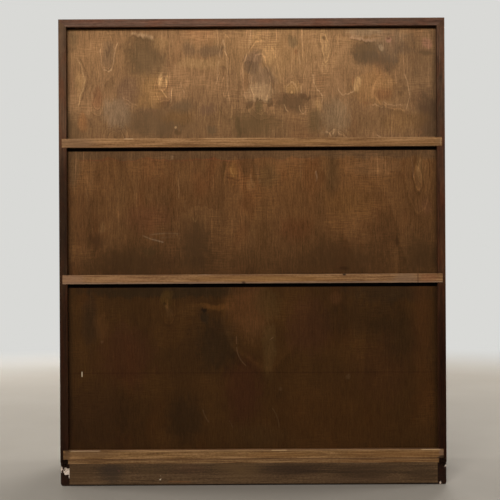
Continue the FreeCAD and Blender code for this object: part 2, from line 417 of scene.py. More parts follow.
def line(x0, z0, x1, z1, paint=LIGHT_LINE, strength=0.6, width=2.4, bow=0.0, way="jagged"):
    """A line that comes out thinner and fainter than a clean one: a line of the figure, a mark, and
    along some rails' arrises a painted highlight.
    """
    thin, faint = (1.0, 1.0) if way == "clean" else (0.8, 0.85)
    values = {
        "Start": (x0 * MM, 0, z0 * MM),
        "End": (x1 * MM, 0, z1 * MM),
        "Bow": bow * MM,
        "Width": width * MM * thin,
        "Strength": strength * faint,
    }
    return scratch, values, paint, way, (LOWEST, HIGHEST)


def scratch_or_painted_light(*values):
    """A line with a clean edge: scratches and cracks, and also painted highlights and a painted shadow.
    """
    return line(*values, way="clean")


def marked(f, colour, marks, places, fray):
    """Lays marks over a colour, the first one lowest. places has a place for each way."""
    broken = f.span(fray, -0.1, 0.3, 1.0, 0.25)
    for group, values, paint, way, (low, high) in marks:
        if group == mark:
            values = {**values, "Fray": fray}
        mask = f.use(group, Vector=places[way], **values)["Mask"]
        if group != mark and way != "clean":
            mask = f.times(mask, broken)
        if (low, high) != (LOWEST, HIGHEST):
            mask = f.use(cut, Vector=places[way], Mask=mask, Low=low * MM, High=high * MM)["Mask"]
        colour = f.blend(mask, colour, tone(*paint))
    return colour


def ply_finish(tier, tones, marks, hills, offset, rings, contrast, foot_shade, shadow, thready):
    """Peeled ply. hills are (x, z, half width, half height, rise, opening), in millimetres.

    shadow is how far the black shadow under the board above comes down, and thready is how
    strongly the pale threads of the stain show."""
    f = Finish(f"stained_ply_{tier}", rough=0.7, shine=0.06)
    low_z, high_z = tier_floor[tier], tier_ceiling[tier]
    flat = f.stretch(f.place, (1, 0, 1))
    scallop = f.noise(f.place, (110, 110, 12), 2.0, 0.6)
    wander = f.wander(f.noises(f.place, (26, 26, 22), 2.0, 0.5))
    jag = f.scaled((0.1, 0, 1), f.fit(scallop, 0.014, -0.007))
    fray = f.fit(f.noise(f.place, (120, 120, 60), 3.0, 0.65), 1.5, -0.75)
    smooth = f.vectors("ADD", flat, f.stretch(wander, (0.018, 0, 0.026)))
    jagged = f.vectors("ADD", smooth, jag)
    places = {"clean": flat, "smooth": smooth, "jagged": jagged}
    seeded = f.vectors("ADD", f.place, (offset, 0, offset * 0.7))
    wavy = f.vectors("ADD", seeded, f.stretch(wander, (0.005, 0, 0.006)))
    wood = f.use(grain, Vector=wavy)
    height, near = 0.0, 0.0
    for *shape, rise, opening in hills:
        stand = oval(*shape, Rise=rise, Open=opening)
        raised = f.use(hill, Vector=jagged, Height=height, Near=near, **stand)
        height, near = raised["Height"], raised["Near"]
    figure = f.use(rotary, Vector=f.vectors("ADD", wavy, jag), Hills=height, Rings=rings)
    cloud = f.noise(wavy, (9, 9, 7), 4.0, 0.55, 0.3)
    redness = f.noise(wavy, (14, 14, 6), 3.0, 0.5)
    value = f.swing(cloud, 1.3 * contrast, 0.5)
    value = f.swing(figure["Figure"], -0.3 * contrast, value)
    plain = f.ramp(value, *zip((0.1, 0.5, 0.9), tones))
    reddish = f.stretch(plain, (1.12, 0.88, 0.80))
    plain = f.blend(f.span(redness, 0.52, 0.70, 0.0, 0.45), plain, reddish)
    back = f.backs()
    colour = f.blend(back, plain, marked(f, plain, marks, places, fray))
    broken = f.span(fray, -0.15, 0.25, 1.0, 0.15)
    shown = f.times(near, broken, contrast)
    colour = f.blend(f.times(figure["Light"], shown), colour, f.scaled(colour, 2.1))
    colour = f.blend(f.times(figure["Dark"], shown), colour, f.scaled(colour, 0.45))
    axes = f.axes()
    up = axes[2]
    fields = f.span(f.noise(wavy, (7, 7, 5), 2.0, 0.5), 0.42, 0.62, 0.2, 0.95)
    # The pale threads of the stain are drawn stronger higher up, where the panel is lit more, which is
    # painted light over a real pattern.
    lit = f.span(up, low_z + 0.05, high_z, 0.45, 1.1)
    threads = f.times(wood["Threads"], fields, lit, thready)
    colour = f.blend(threads, colour, f.stretch(colour, (1.85, 1.9, 2.0)))
    across = f.use(cross_scratches, Vector=wavy)["Mask"]
    fibre = f.swing(wood["Streaks"], 2.8 * contrast, 1.0)
    fibre = f.swing(wood["Flecks"], 1.5 * contrast, fibre)
    fibre = f.fit(wood["Pores"], -0.3 * contrast, fibre)
    fibre = f.fit(f.minus(across, 0.15), 0.8 * contrast, fibre)
    clear = f.brightness(plain)
    darkness = f.maths("DIVIDE", f.minus(clear, f.brightness(colour)), clear)
    fibre = f.times(f.minus(fibre, 1.0), f.span(darkness, 0.1, 0.45, 1.0, 0.3))
    fibre = f.swing(wood["Bands"], 0.8 * contrast, f.maths("ADD", fibre, 1.0))
    # Painted shade: darker next to the side boards, which stand proud of the ply, and towards the
    # panel's foot by foot_shade.
    side = f.minus(inner_x, f.maths("ABSOLUTE", axes[0]))
    fade = f.times(f.span(up, low_z, high_z, foot_shade, 1.0), f.span(side, -0.004, 0.014, 0.4, 1.0))
    shaded = f.scaled(colour, f.times(fibre, fade))
    # Painted shadow: the back faces go near black just under the board above, as far down as shadow.
    ledge = f.span(up, high_z - shadow, high_z - shadow + 0.002, 1.0, 0.04)
    under = f.maths("ADD", 1.0, f.times(f.minus(ledge, 1.0), back))
    relief = f.fit(across, 0.35, f.fit(wood["Pores"], -0.6, wood["Streaks"]))
    return f.done(f.scaled(shaded, under), f.fit(cloud, 0.2, 0.6), relief, depth=0.00018)


upper_marks = [
    # The lighter top of the panel and its darker foot and right end
    patch(-70, 1010, 190, 62, (166, 126, 86), 0.75, 0.6),
    patch(340, 1010, 130, 62, (156, 116, 77), 0.65, 0.6),
    patch(10, 1000, 120, 40, (166, 124, 80), 0.35, 0.7),
    patch(-80, 1005, 60, 40, (172, 130, 84), 0.3, 0.7),
    patch(160, 990, 50, 50, (160, 118, 78), 0.3, 0.7),
    patch(40, 826, 420, 34, (120, 88, 56), 0.55, 0.6),
    patch(-400, 930, 46, 130, (124, 94, 65), 0.7, 0.6),
    patch(426, 822, 30, 44, (98, 74, 48), 0.6, 0.7),
    # The large dark smudge on the left, with the light arc over it
    patch(249, 1000, 40, 52, DARK_OLIVE, 0.8, 0.4, high=1036),
    patch(230, 968, 42, 40, (118, 91, 62), 0.65, 0.6),
    line(284, 1041, 222, 1031, (194, 156, 116), 0.8, 8.0, -3),
    line(286, 1035, 222, 1024, (92, 68, 44), 0.6, 4.0, -3),
    patch(208, 1022, 22, 14, PALE_GOLD, 0.4),
    patch(411, 1030, 8, 26, OLIVE, 0.6),
    patch(334, 995, 13, 32, GREY_BROWN),
    arc(334, 1002, 17, 48, LIGHT_LINE, 0.7, 0.1, high=1010),
    line(310, 1028, 320, 980, LIGHT_LINE, 0.85, 3.0, 2),
    line(319, 984, 332, 953, LIGHT_LINE, 0.75, 2.6, -2),
    patch(397, 932, 11, 24, PALE_GOLD, 0.7),
    line(406, 991, 406, 879, (206, 162, 112), 0.85, 3.2, -20),
    line(401, 993, 402, 877, (92, 66, 42), 0.7, 3.4, -22),
    patch(356, 896, 11, 24, RED_BROWN, 0.65),
    patch(389, 842, 9, 22, (160, 110, 68), 0.7),
    patch(309, 856, 32, 32, (152, 122, 92), 0.85),
    patch(222, 838, 74, 32, (102, 79, 55), 0.65),
    patch(237, 905, 36, 40, (156, 115, 68), 0.5, 0.4, low=868),
    patch(198, 886, 14, 14, (112, 80, 52), 0.55),
    patch(212, 936, 6, 12, BRIGHT_GOLD, 0.7, 0.45),
    patch(196, 936, 4, 12, BRIGHT_GOLD, 0.6, 0.45),
    patch(204, 926, 9, 6, PALE_GOLD),
    line(211, 928, 195, 897, BRIGHT_GOLD, 0.7, 3.4, 3),
    patch(283, 908, 26, 30, (122, 91, 68), 0.55),
    line(298, 893, 264, 880, LIGHT_LINE, 0.5, 1.8),
    line(292, 882, 258, 876, LIGHT_LINE, 0.35, 1.8),
    # The dark smudges and light band to the left of the middle
    patch(147, 1006, 14, 18, DARK_GREY),
    patch(96, 1002, 30, 13, DARK_GREY, 0.6),
    patch(122, 975, 46, 13, (172, 132, 88), 0.75, 0.4, high=985),
    patch(103, 870, 16, 12, (106, 78, 60), 0.55),
    patch(165, 874, 24, 16, (100, 80, 58), 0.6),
    patch(170, 850, 36, 18, (140, 100, 56), 0.4),
    line(64, 1028, 75, 986, LIGHT_LINE, 0.8, 2.6),
    line(75, 986, 84, 922, LIGHT_LINE, 0.55, 2.0),
    line(64, 1028, 56, 992, LIGHT_LINE, 0.75, 2.6),
    line(56, 996, 52, 880, LIGHT_LINE, 0.4, 2.0),
    patch(68, 1000, 5, 14, (110, 82, 60), 0.4),
    line(181, 918, 187, 880, LIGHT_LINE, 0.5, 2.2, 3),
    line(166, 932, 156, 906, LIGHT_LINE, 0.35, 2.0),
    patch(174, 821, 2.6, 2.0, LIGHT_LINE, 0.55),
    patch(170, 813, 8, 4, (84, 58, 34), 0.4),
    patch(92, 818, 11, 8, (94, 78, 56), 0.45, 0.4),
    line(106, 888, 106, 824, PALE_GOLD, 0.5, 2.0),
    line(77, 890, 76, 822, PALE_GOLD, 0.45, 2.2),
    line(47, 880, 46, 822, PALE_GOLD, 0.45, 2.2),
    patch(33, 832, 6, 26, (98, 76, 48), 0.6),
    # The shield in the middle, with its dark disc
    patch(-7, 984, 22, 18, (136, 105, 80), 0.7),
    patch(-1, 965, 18, 12, (114, 88, 64), 0.75, 0.4),
    patch(-29, 944, 28, 22, (148, 116, 86), 0.7),
    patch(-18, 903, 30, 28, (172, 136, 98), 0.85, 0.4, low=884),
    patch(7, 884, 9, 10, DARK_LINE, 0.7, 0.4),
    patch(-43, 885, 8, 11, DARK_LINE, 0.7, 0.4),
    patch(-17, 877, 14, 15, DARK_LINE, 0.8, 0.2, low=876),
    patch(-17, 875, 12, 13, (122, 95, 62), 0.9, 0.2),
    arc(-17, 875, 12, 13, PALE_GOLD, 0.5, 0.16, high=866),
    line(2, 1046, 7, 1012, LIGHT_LINE, 0.7),
    line(7, 1010, 15, 972, LIGHT_LINE, 0.5, 2.2),
    patch(-13, 1034, 10, 18, PALE_GOLD, 0.55),
    line(-23, 1052, -23, 1000, PALE_GOLD, 0.7, 3.0),
    line(-23, 1000, -50, 938, DARK_LINE, 0.7, 3.4, 5),
    patch(-42, 994, 14, 24, (196, 150, 100), 0.75),
    line(-40, 985, -60, 940, PALE_GOLD, 0.7, 5.0, 4),
    patch(-66, 962, 12, 28, (174, 132, 88), 0.7),
    patch(-96, 1026, 11, 13, (116, 93, 64), 0.7, 0.4),
    patch(-104, 1003, 4, 6, RED_BROWN, 0.7),
    line(-111, 1006, -111, 966),
    patch(-95, 918, 20, 18, (166, 126, 80), 0.6, 0.3, low=902),
    arc(-92, 906, 14, 26, LIGHT_LINE, 0.6, 0.16, low=904),
    line(-116, 924, -118, 904, LIGHT_LINE, 0.7, 2.8),
    patch(-94, 882, 36, 22, (106, 79, 53), 0.8, high=905),
    patch(-122, 899, 14, 7, (92, 66, 44), 0.6),
    arc(-117, 872, 9, 10, LIGHT_LINE, 0.6, 0.2, high=874),
    line(-74, 872, -88, 856, LIGHT_LINE, 0.6, 2.6, 2),
    line(-141, 950, -152, 915),
    line(-152, 917, -168, 896, LIGHT_LINE, 0.7, 2.6),
    line(-168, 897, -160, 880, LIGHT_LINE, 0.5),
    patch(-154, 874, 7, 16, PALE_GOLD, 0.7),
    patch(-8, 834, 50, 30, (100, 78, 49), 0.6, 0.6),
    patch(-146, 842, 14, 24, (102, 80, 51), 0.65),
    # The light eye and the second dark smudge on the right
    patch(-169, 1015, 9, 36, (184, 142, 96), 0.65),
    arc(-169, 1010, 7, 42, BRIGHT_GOLD, 0.6, 0.25),
    patch(-170, 1032, 4, 6, DARK_LINE, 0.7),
    line(-196, 1040, -180, 972, DARK_LINE, 0.5, 3.0, 4),
    line(-206, 1044, -190, 960, PALE_GOLD, 0.5, 3.0, 4),
    patch(-267, 1002, 36, 25, (107, 83, 57), 0.85, 0.4, high=1031),
    line(-226, 1037, -292, 1030, (190, 150, 116), 0.75, 7.0, 4),
    line(-228, 1031, -292, 1024, (88, 66, 44), 0.6, 4.0, 4),
    patch(-262, 1046, 38, 10, (152, 128, 100), 0.45),
    patch(-285, 984, 44, 14, (102, 80, 58), 0.7),
    patch(-308, 968, 26, 20, (110, 84, 60), 0.6),
    patch(-318, 1022, 34, 36, (122, 100, 78)),
    patch(-318, 1028, 6, 6, (168, 120, 96), 0.7),
    patch(-317, 1030, 3, 3, DARK_LINE, 0.7),
    patch(-300, 1010, 4, 8, (180, 148, 112), 0.7),
    patch(-352, 1004, 20, 11, (106, 82, 60)),
    patch(-370, 1030, 10, 20, (116, 90, 64)),
    patch(-407, 1018, 11, 11, (154, 108, 84), 0.6),
    patch(-402, 997, 15, 7, (94, 72, 49), 0.65),
    patch(-284, 914, 46, 40, (166, 122, 78), 0.75, 0.35),
    patch(-304, 902, 20, 16, (130, 88, 56), 0.7),
    patch(-244, 925, 9, 16, BRIGHT_GOLD, 0.75, 0.4),
    arc(-244, 922, 8, 17, (200, 156, 104), 0.5, 0.25, low=915),
    patch(-236, 928, 3, 12, RED_BROWN, 0.6),
    arc(-220, 926, 22, 28, LIGHT_LINE, 0.75, 0.12, high=916),
    line(-258, 884, -284, 872, RED_BROWN, 0.5, 8.0),
    line(-278, 874, -304, 868, LIGHT_LINE, 0.6, 3.0),
    line(-300, 880, -352, 875, LIGHT_LINE, 0.45, 3.0, 3),
    line(-300, 872, -360, 868, DARK_LINE, 0.45, 3.0, 3),
    line(-352, 950, -366, 893, LIGHT_LINE, 0.5, 2.2, -4),
    line(-366, 895, -358, 864),
    line(-324, 956, -330, 888, DARK_LINE, 0.4, 4.0),
    patch(-192, 850, 34, 38, (148, 118, 86), 0.8),
    line(-170, 812, -186, 802, LIGHT_LINE, 0.5, 2.6),
    line(-186, 804, -196, 820, LIGHT_LINE, 0.8, 3.0),
    line(-196, 812, -222, 806, LIGHT_LINE, 0.4, 2.6),
    line(-288, 810, -304, 803, LIGHT_LINE, 0.75, 2.8),
    patch(-408, 850, 24, 52, (84, 62, 44), 0.8),
    patch(-352, 838, 50, 26, (142, 102, 58), 0.35),
]

middle_marks = [
    patch(-140, 655, 170, 80, (118, 79, 43), 0.5, 0.6),
    patch(0, 500, 430, 40, (84, 56, 30), 0.5, 0.6),
    patch(0, 765, 1400, 12, (92, 70, 48), 0.6, 0.45),
    line(425, 752, 40, 752, (130, 66, 40), 0.45, 2.0, way="smooth"),
    line(150, 752, -160, 752, (130, 66, 40), 0.35, 2.0, way="smooth"),
    patch(411, 727, 14, 40, (96, 74, 50)),
    patch(184, 758, 4, 4, (136, 108, 78)),
    # The small orange flame and its dark tip
    patch(43, 726, 7, 24, (132, 92, 48), 0.55, 0.7),
    line(47, 736, 45, 706, (156, 112, 62), 0.6, 3.0),
    line(58, 706, 30, 708, (66, 42, 22), 0.7, 4.0, 6),
    patch(64, 735, 6, 16, (82, 57, 30), 0.6),
    patch(12, 738, 16, 22, (84, 60, 34)),
    patch(-8, 724, 6, 26, (78, 54, 28)),
    line(2, 720, -6, 690, (136, 98, 62), 0.6, 4.0),
    line(-10, 740, -22, 700, (128, 92, 58), 0.5, 6.0),
    patch(-40, 712, 22, 24, (84, 64, 36), 0.45),
    patch(0, 690, 10, 14, (134, 96, 58), 0.4),
    # Light streaks of the grain
    line(384, 682, 378, 656, (140, 102, 66), 0.7, 3.0),
    line(364, 716, 378, 690, (120, 86, 54), 0.5, 4.0),
    line(168, 726, 170, 660, (142, 106, 70), 0.6, 2.6),
    line(154, 656, 154, 636, (138, 102, 66), 0.6, 3.0),
    line(122, 656, 122, 636, (130, 94, 60), 0.5, 2.6),
    line(-146, 722, -148, 697, (156, 124, 92), 0.8, 3.6),
    line(307, 706, 294, 682, (112, 80, 50), 0.6, 3.0),
    patch(-332, 512, 6, 36, (120, 82, 46), 0.65),
    patch(-334, 560, 4, 10, (66, 42, 22), 0.6),
    line(-370, 757, -376, 712, (146, 106, 72), 0.6, 3.4),
    patch(-390, 730, 7, 26, (140, 102, 62)),
    line(-396, 752, -386, 708, (150, 112, 70), 0.6, 3.0, 4),
    line(-402, 740, -398, 690, (132, 96, 58), 0.5, 3.0),
    line(-382, 706, -392, 672, (128, 90, 56), 0.5, 3.0),
    line(-350, 700, -360, 640, (112, 78, 46), 0.4, 3.4),
    line(-318, 700, -324, 620, (114, 80, 48), 0.4, 3.4),
    patch(-186, 716, 16, 44, (84, 62, 36)),
    line(246, 720, 244, 640, (112, 80, 48), 0.35, 3.0),
    line(205, 690, 204, 600, (116, 82, 50), 0.35, 3.0),
    line(-112, 750, -116, 704, (134, 98, 62), 0.55, 3.0),
    line(-60, 656, -62, 584, (120, 86, 52), 0.5, 3.0),
    line(-73, 650, -72, 590, (118, 84, 50), 0.45, 2.6),
    line(-281, 660, -283, 548, (114, 82, 48), 0.5, 3.0),
    line(-242, 610, -243, 560, (110, 78, 44), 0.45, 3.0),
    line(240, 640, 240, 575, (118, 82, 50), 0.5, 3.0),
    line(229, 640, 228, 590, (116, 80, 48), 0.45, 2.6),
    patch(-60, 640, 16, 90, (116, 80, 46), 0.4, 0.6),
    patch(-30, 610, 8, 80, (88, 58, 30), 0.4, 0.6),
    patch(75, 600, 12, 90, (88, 60, 34), 0.4, 0.6),
    patch(-160, 620, 12, 90, (86, 58, 32), 0.4, 0.6),
    patch(250, 640, 12, 80, (90, 60, 32), 0.4, 0.6),
    patch(300, 660, 14, 70, (114, 80, 46), 0.35, 0.6),
    line(402, 720, 400, 540, (122, 82, 48), 0.6, 5.0),
    line(390, 700, 389, 560, (70, 44, 22), 0.5, 4.0),
    line(372, 650, 374, 590, (66, 42, 22), 0.5, 6.0, 6),
    line(356, 690, 340, 640, (68, 44, 22), 0.4, 5.0),
    line(345, 720, 338, 660, (120, 84, 52), 0.4, 3.0),
    # Pale scratches, dark clouds and reddish clouds
    scratch_or_painted_light(255, 577, 208, 561, (146, 118, 90), 0.5, 2.2, 2),
    scratch_or_painted_light(240, 577, 166, 579, (130, 102, 76), 0.5, 2.4, -3),
    scratch_or_painted_light(232, 568, 204, 560, (150, 122, 96), 0.5, 2.0),
    scratch_or_painted_light(214, 570, 176, 574, (124, 96, 68), 0.35, 3.0),
    line(176, 580, 164, 562, (132, 100, 66), 0.5),
    patch(208, 560, 2, 2, (170, 140, 110), 0.6),
    patch(288, 514, 82, 38, (60, 42, 22), 0.5, 0.7),
    patch(236, 540, 14, 10, (84, 62, 34)),
    patch(131, 556, 36, 58, (60, 44, 26), 0.55, 0.7),
    patch(-210, 530, 78, 46, (64, 43, 22), 0.45, 0.7),
    patch(-212, 499, 7, 4, (44, 27, 13)),
    patch(362, 566, 15, 20, (58, 37, 21), 0.5, 0.7),
    patch(349, 594, 8, 14, (128, 92, 56), 0.6),
    line(372, 598, 364, 572, (130, 90, 52), 0.6, 4.0),
    patch(190, 548, 18, 50, (106, 72, 42), 0.35),
    line(168, 575, 172, 545, (124, 86, 50), 0.5, 5.0),
    line(143, 622, 132, 604, (136, 98, 60), 0.7, 3.4),
    line(133, 604, 124, 620, (128, 92, 56), 0.6, 3.4),
    patch(243, 617, 52, 30, (98, 58, 36), 0.4),
    patch(-98, 588, 38, 28, (100, 58, 31), 0.45),
    patch(-226, 650, 48, 30, (110, 75, 38), 0.45),
    patch(-284, 734, 58, 20, (126, 91, 59), 0.35),
    patch(-400, 640, 14, 14, (118, 78, 52), 0.45),
    patch(-300, 590, 30, 40, (76, 46, 26), 0.2, 0.7),
    patch(-390, 526, 46, 46, (60, 42, 22), 0.55, 0.7),
    patch(-20, 570, 24, 90, (104, 72, 40), 0.35),
    patch(400, 600, 18, 60, (110, 72, 40), 0.35),
]

lower_marks = [
    patch(360, 150, 90, 90, (48, 29, 14), 0.5, 0.6),
    patch(-190, 150, 140, 70, (72, 44, 18), 0.5, 0.6),
    patch(200, 446, 190, 15, (40, 31, 18), 0.6, 0.4),
    patch(-320, 440, 90, 22, (46, 34, 20)),
    patch(198, 428, 12, 22, (86, 60, 26)),
    patch(194, 398, 8, 14, (94, 64, 34), 0.45),
    patch(200, 414, 4, 4, (28, 18, 9)),
    patch(90, 411, 36, 7, (112, 72, 33), 0.5, 0.6),
    patch(140, 405, 40, 14, (80, 52, 24), 0.4),
    patch(112, 401, 7, 5, (24, 16, 8), 0.8, 0.4),
    patch(112, 386, 10, 16, (40, 30, 18), 0.6),
    # The warm glow high in the middle, and the clouds round it
    patch(12, 405, 44, 56, (92, 58, 31), 0.7),
    patch(-6, 366, 26, 32, (90, 60, 32), 0.4, 0.7),
    patch(-37, 320, 15, 60, (84, 60, 31), 0.6),
    patch(-30, 420, 30, 30, (78, 56, 28)),
    patch(295, 298, 62, 62, (70, 38, 22), 0.45),
    patch(23, 217, 40, 72, (66, 34, 19), 0.55),
    patch(-130, 366, 50, 60, (70, 40, 24)),
    patch(-300, 262, 60, 70, (68, 40, 20), 0.4),
    patch(80, 320, 44, 60, (38, 28, 15), 0.55),
    patch(156, 148, 42, 50, (38, 26, 14)),
    patch(376, 380, 18, 60, (44, 32, 20)),
    patch(350, 368, 16, 28, (84, 54, 27)),
    patch(-18, 110, 60, 26, (72, 49, 24), 0.4),
    patch(-340, 340, 40, 50, (44, 31, 15), 0.4),
    patch(-400, 220, 20, 150, (74, 46, 20), 0.35),
    patch(-390, 390, 20, 100, (78, 46, 21), 0.45, 0.7),
    patch(-250, 384, 92, 40, (46, 30, 14), 0.5, 0.7),
    patch(351, 333, 3, 3, (98, 72, 48), 0.4),
    scratch_or_painted_light(600, 258, -600, 257, (36, 14, 7), 0.32, 2.2),
    scratch_or_painted_light(396, 262, 396, 249, (235, 214, 182), 1.0, 1.4),
    scratch_or_painted_light(38, 343, 38, 323, (112, 80, 52), 0.65, 1.6),
    scratch_or_painted_light(38, 319, 14, 272, (104, 75, 50), 0.6, 2.0, 6),
    scratch_or_painted_light(117, 174, 102, 142, (96, 70, 45), 0.55, 2.2, 2),
    scratch_or_painted_light(-43, 177, -60, 128, (96, 69, 42), 0.5, 2.0, -4),
    scratch_or_painted_light(56, 148, 46, 128, (92, 64, 40), 0.4, 2.0),
    line(-38, 330, -46, 336, (118, 92, 64)),
    patch(-221, 243, 5, 6, (98, 72, 46), 0.45),
    patch(-62, 218, 5, 5, (90, 64, 40), 0.4),
    patch(-190, 430, 14, 12, (84, 52, 28)),
]

# Hills of the figure: where it closes into eyes, tongues and arches
UPPER_HILLS = [
    (336, 1005, 19, 56, 0.36, 1),
    (357, 888, 12, 30, 0.30, 1),
    (206, 928, 18, 32, 0.30, 1),
    (63, 930, 17, 96, 0.34, -1),
    (-16, 946, 30, 72, 0.36, 0),
    (-17, 872, 13, 14, 0.24, 0),
    (-92, 908, 15, 22, 0.42, -1),
    (-170, 1012, 12, 44, 0.28, 1),
    (-132, 960, 10, 60, 0.20, 1),
    (-328, 912, 46, 46, 0.20, 1),
    (313, 800, 24, 24, 0.34, -1),
    (-204, 796, 24, 24, 0.30, -1),
]
MIDDLE_HILLS = [(45, 716, 16, 46, 0.16, 1), (-386, 710, 18, 60, 0.18, 1)]
LOWER_HILLS = [(196, 416, 16, 40, 0.3, 1), (0, 370, 50, 90, 0.14, 1)]
UPPER_TONES = ((120, 89, 60), (145, 108, 73), (166, 125, 87))
MIDDLE_TONES = ((82, 54, 28), (108, 73, 41), (128, 90, 54))
LOWER_TONES = ((50, 32, 14), (65, 41, 17), (80, 52, 24))

ply = {
    "upper": ply_finish(
        "upper", UPPER_TONES, upper_marks, UPPER_HILLS, offset=0.0, rings=9.0, contrast=0.5,
        foot_shade=0.94, shadow=0.0047, thready=1.0,
    ),
    "middle": ply_finish(
        "middle", MIDDLE_TONES, middle_marks, MIDDLE_HILLS, offset=5.3, rings=9.0, contrast=0.5,
        foot_shade=0.72, shadow=0.0090, thready=0.85,
    ),
    "lower": ply_finish(
        "lower", LOWER_TONES, lower_marks, LOWER_HILLS, offset=9.1, rings=7.0, contrast=0.38,
        foot_shade=0.9, shadow=0.0102, thready=0.4,
    ),
}


# Solid and veneered boards


def board_finish(name, order, face, edge=None, rough=0.42, coat=0.35, shine=0.08):
    """Stained timber with its grain along the axis that comes last in order.

    edge gives the tones of the faces that look to the back as (height, colour) steps."""
    f = Finish(name, rough, shine)
    f.shader.inputs["Coat Roughness"].default_value = 0.3
    along = f.turned(order)
    wood = f.use(grain, Vector=along, Stretch=0.45)
    value = f.swing(wood["Streaks"], 0.9, wood["Bands"])
    colour = f.ramp(value, *zip((0.25, 0.5, 0.8), face))
    back = f.backs()
    if edge:
        drift = f.noise(f.place, (4, 4, 14), 3.0, 0.6)
        up = f.fit(drift, 0.06, f.maths("ADD", f.axes()[2], -0.03))
        stained = f.ramp(f.maths("DIVIDE", up, top_z), *((z / top_z, paint) for z, paint in edge))
        knocks = f.noise(along, (240, 240, 70), 3.0, 0.65)
        tint = f.swing(knocks, 1.1, f.swing(value, 2.0, 1.0))
        patches = f.noise(along, (60, 60, 16), 3.0, 0.6)
        redder = f.stretch(stained, (1.08, 0.88, 0.80))
        stained = f.blend(f.span(patches, 0.44, 0.64), stained, redder)
        colour = f.blend(back, colour, f.scaled(stained, tint))
    colour = f.scaled(colour, f.fit(wood["Pores"], -0.3, 1.05))
    wear = f.use(edge_wear, Vector=f.place)["Mask"]
    colour = f.blend(f.times(wear, 0.35), colour, f.scaled(colour, 1.7))
    f.put(f.shader.inputs["Coat Weight"], f.fit(back, -coat, coat))
    height = f.fit(wood["Pores"], -0.8, wood["Streaks"])
    gloss = f.fit(wood["Streaks"], 0.2, rough - 0.1)
    return f.done(colour, f.maths("MAXIMUM", gloss, f.times(back, 0.7)), height, depth=0.0002)


CASE_TONES = ((52, 32, 20), (76, 48, 31), (104, 69, 45))
SIDE_EDGE = {
    "right": (
        (0.05, (34, 18, 8)),
        (0.14, (40, 22, 10)),
        (0.40, (43, 24, 11)),
        (0.47, (54, 36, 22)),
        (0.56, (45, 29, 18)),
        (0.71, (47, 31, 19)),
        (0.77, (68, 47, 33)),
        (0.83, (83, 59, 42)),
        (1.07, (84, 63, 46)),
    ),
    "left": (
        (0.06, (40, 20, 7)),
        (0.30, (40, 19, 5)),
        (0.38, (53, 29, 14)),
        (0.46, (62, 36, 19)),
        (0.51, (78, 50, 31)),
        (0.59, (71, 43, 26)),
        (0.68, (80, 50, 33)),
        (0.86, (86, 62, 45)),
        (1.00, (102, 75, 57)),
    ),
}
TOP_EDGE = ((0.0, (104, 78, 64)), (1.0, (102, 76, 62)))
SHELF_FACE = ((80, 54, 34), (108, 75, 48), (136, 98, 64))
RAIL_TONES = {
    "upper_shelf": ((112, 78, 46), (142, 104, 67), (172, 130, 88)),
    "lower_shelf": ((100, 68, 40), (128, 92, 59), (158, 120, 82)),
    "bottom_board": ((92, 64, 36), (123, 90, 54), (156, 119, 79)),
    "base_fillet_rear": ((85, 59, 34), (115, 84, 52), (146, 113, 77)),
}
